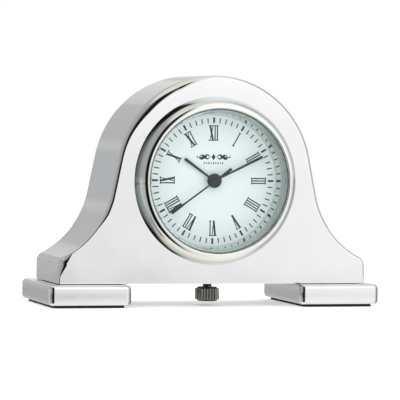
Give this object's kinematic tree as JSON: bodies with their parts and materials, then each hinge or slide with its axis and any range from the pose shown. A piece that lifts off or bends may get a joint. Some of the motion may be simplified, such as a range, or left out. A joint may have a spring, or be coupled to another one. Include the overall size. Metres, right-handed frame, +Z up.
{
  "type": "miniature mantel clock",
  "caption": "Small polished metal mantel clock with an arched case on two feet, a round white dial, three hands and a pull-out crown under the case.",
  "frame": {"origin": "centre of the bounding box's bottom, on the surface that the foot pads rest on", "axes": "+X to the right as seen from the front, +Y from the dial towards the back, +Z up"},
  "size_m": [0.08, 0.0294, 0.0538],
  "materials": {
    "polished_case": "mirror-polished plating over a zinc casting",
    "polished_bezel": "mirror-polished turned ring",
    "reflector": "polished inner cone",
    "white_dial": "matt white with a faint cool tint",
    "hand_black": "dark satin lacquer",
    "crown_metal": "dark gunmetal plating",
    "mineral_glass": "clear flat mineral glass",
    "clear_nylon": "translucent grey-green nylon",
    "black_pad": "matt black foam rubber",
    "plated_steel": "satin nickel-plated steel",
    "screw_steel": "bright zinc-plated steel",
    "battery_steel": "satin stainless can",
    "holder_plastic": "ivory moulded plastic",
    "nickel_plate": "nickel-plated brass, fine satin",
    "wheel_brass": "bright cut brass",
    "circuit_green": "green solder mask",
    "chip_black": "black moulded resin",
    "coil_copper": "enamelled copper wire",
    "soft_iron": "bare soft iron"
  },
  "bodies": {
    "root": {"case_body": "polished_case", "left_foot": "polished_case", "right_foot": "polished_case", "bezel": "polished_bezel", "reflector_ring": "reflector", "dial": "white_dial", "crown_tube": "crown_metal", "glass": "mineral_glass", "glass_gasket": "clear_nylon", "left_foot_pad": "black_pad", "right_foot_pad": "black_pad", "back_plate": "plated_steel", "bezel_nut": "plated_steel", "clamp_ring": "plated_steel", "battery": "battery_steel", "battery_clamp": "plated_steel", "quartz_crystal": "plated_steel", "movement_holder": "holder_plastic", "main_plate": "nickel_plate", "train_bridge": "nickel_plate", "circuit_board": "circuit_green", "timing_chip": "chip_black", "coil_winding": "coil_copper", "coil_core": "soft_iron", "stator": "soft_iron", "back_plate_screw_lower_left": "screw_steel", "back_plate_screw_lower_right": "screw_steel", "back_plate_screw_upper_left": "screw_steel", "back_plate_screw_upper_right": "screw_steel", "left_foot_screw_front": "screw_steel", "left_foot_screw_back": "screw_steel", "right_foot_screw_front": "screw_steel", "right_foot_screw_back": "screw_steel", "bridge_screw_1": "screw_steel", "bridge_screw_2": "screw_steel", "bridge_screw_3": "screw_steel"},
    "battery_cover": {"battery_cover": "polished_case"},
    "seconds": {"seconds_wheel": "wheel_brass", "second_hand": "hand_black"},
    "minutes": {"centre_wheel": "wheel_brass", "cannon_pinion": "wheel_brass", "minute_hand": "hand_black"},
    "hours": {"hour_wheel": "wheel_brass", "hour_hand": "hand_black"},
    "third": {"third_wheel": "wheel_brass"},
    "intermediate": {"intermediate_wheel": "wheel_brass"},
    "rotor": {"rotor": "soft_iron"},
    "minute_works": {"minute_wheel": "wheel_brass"},
    "setting": {"setting_wheel": "nickel_plate"},
    "clutch": {"clutch_pinion": "plated_steel"},
    "stem": {"winding_stem": "plated_steel", "crown": "crown_metal"},
    "lever": {"setting_lever": "plated_steel"},
    "yoke": {"yoke": "plated_steel"}
  },
  "joints": [
    {"name": "seconds_turn", "type": "hinge", "parent": "root", "child": "seconds", "pos_m": [0, -0.005, 0.02935], "axis": [0, 1, 0], "continuous": true},
    {"name": "minutes_turn", "type": "hinge", "parent": "root", "child": "minutes", "pos_m": [0, -0.005, 0.02935], "axis": [0, 1, 0], "continuous": true},
    {"name": "hours_turn", "type": "hinge", "parent": "root", "child": "hours", "pos_m": [0, -0.005, 0.02935], "axis": [0, 1, 0], "continuous": true},
    {"name": "third_turn", "type": "hinge", "parent": "root", "child": "third", "pos_m": [0.00308, -0.005, 0.02791], "axis": [0, 1, 0], "continuous": true},
    {"name": "intermediate_turn", "type": "hinge", "parent": "root", "child": "intermediate", "pos_m": [-0.00333, -0.005, 0.03127], "axis": [0, 1, 0], "continuous": true},
    {"name": "rotor_turn", "type": "hinge", "parent": "root", "child": "rotor", "pos_m": [-0.00511, -0.005, 0.03305], "axis": [0, 1, 0], "continuous": true},
    {"name": "minute_wheel_turn", "type": "hinge", "parent": "root", "child": "minute_works", "pos_m": [-0.00306, -0.0063, 0.02745], "axis": [0, 1, 0], "continuous": true},
    {"name": "setting_wheel_turn", "type": "hinge", "parent": "root", "child": "setting", "pos_m": [0, -0.0063, 0.0248], "axis": [0, 1, 0], "continuous": true},
    {"name": "crown_turn", "type": "hinge", "parent": "root", "child": "clutch", "pos_m": [0, -0.0055, 0.02235], "axis": [0, 0, 1], "continuous": true},
    {"name": "crown_pull", "type": "slide", "parent": "clutch", "child": "stem", "axis": [0, 0, -1], "range_m": [0, 0.0008]},
    {"name": "lever_swing", "type": "hinge", "parent": "root", "child": "lever", "pos_m": [0.0024, -0.0052, 0.02035], "axis": [0, 1, 0], "range_deg": [-19.6, 0]},
    {"name": "yoke_swing", "type": "hinge", "parent": "root", "child": "yoke", "pos_m": [0.003, -0.0052, 0.02215], "axis": [0, 1, 0], "range_deg": [0, 11.9]},
    {"name": "cover_off", "type": "slide", "parent": "root", "child": "battery_cover", "axis": [0, 1, 0], "range_m": [0, 0.008]}
  ],
  "couplings": [
    {"joint": "third_turn", "follows": "seconds_turn", "ratio": -0.125},
    {"joint": "minutes_turn", "follows": "seconds_turn", "ratio": 0.016667},
    {"joint": "minute_wheel_turn", "follows": "seconds_turn", "ratio": -0.0055556},
    {"joint": "hours_turn", "follows": "seconds_turn", "ratio": 0.0013889},
    {"joint": "setting_wheel_turn", "follows": "seconds_turn", "ratio": 0.011111},
    {"joint": "intermediate_turn", "follows": "seconds_turn", "ratio": -5},
    {"joint": "rotor_turn", "follows": "seconds_turn", "ratio": 30},
    {"joint": "lever_swing", "follows": "crown_pull", "rad_per_m": -424.8},
    {"joint": "yoke_swing", "follows": "crown_pull", "rad_per_m": 257.44}
  ]
}
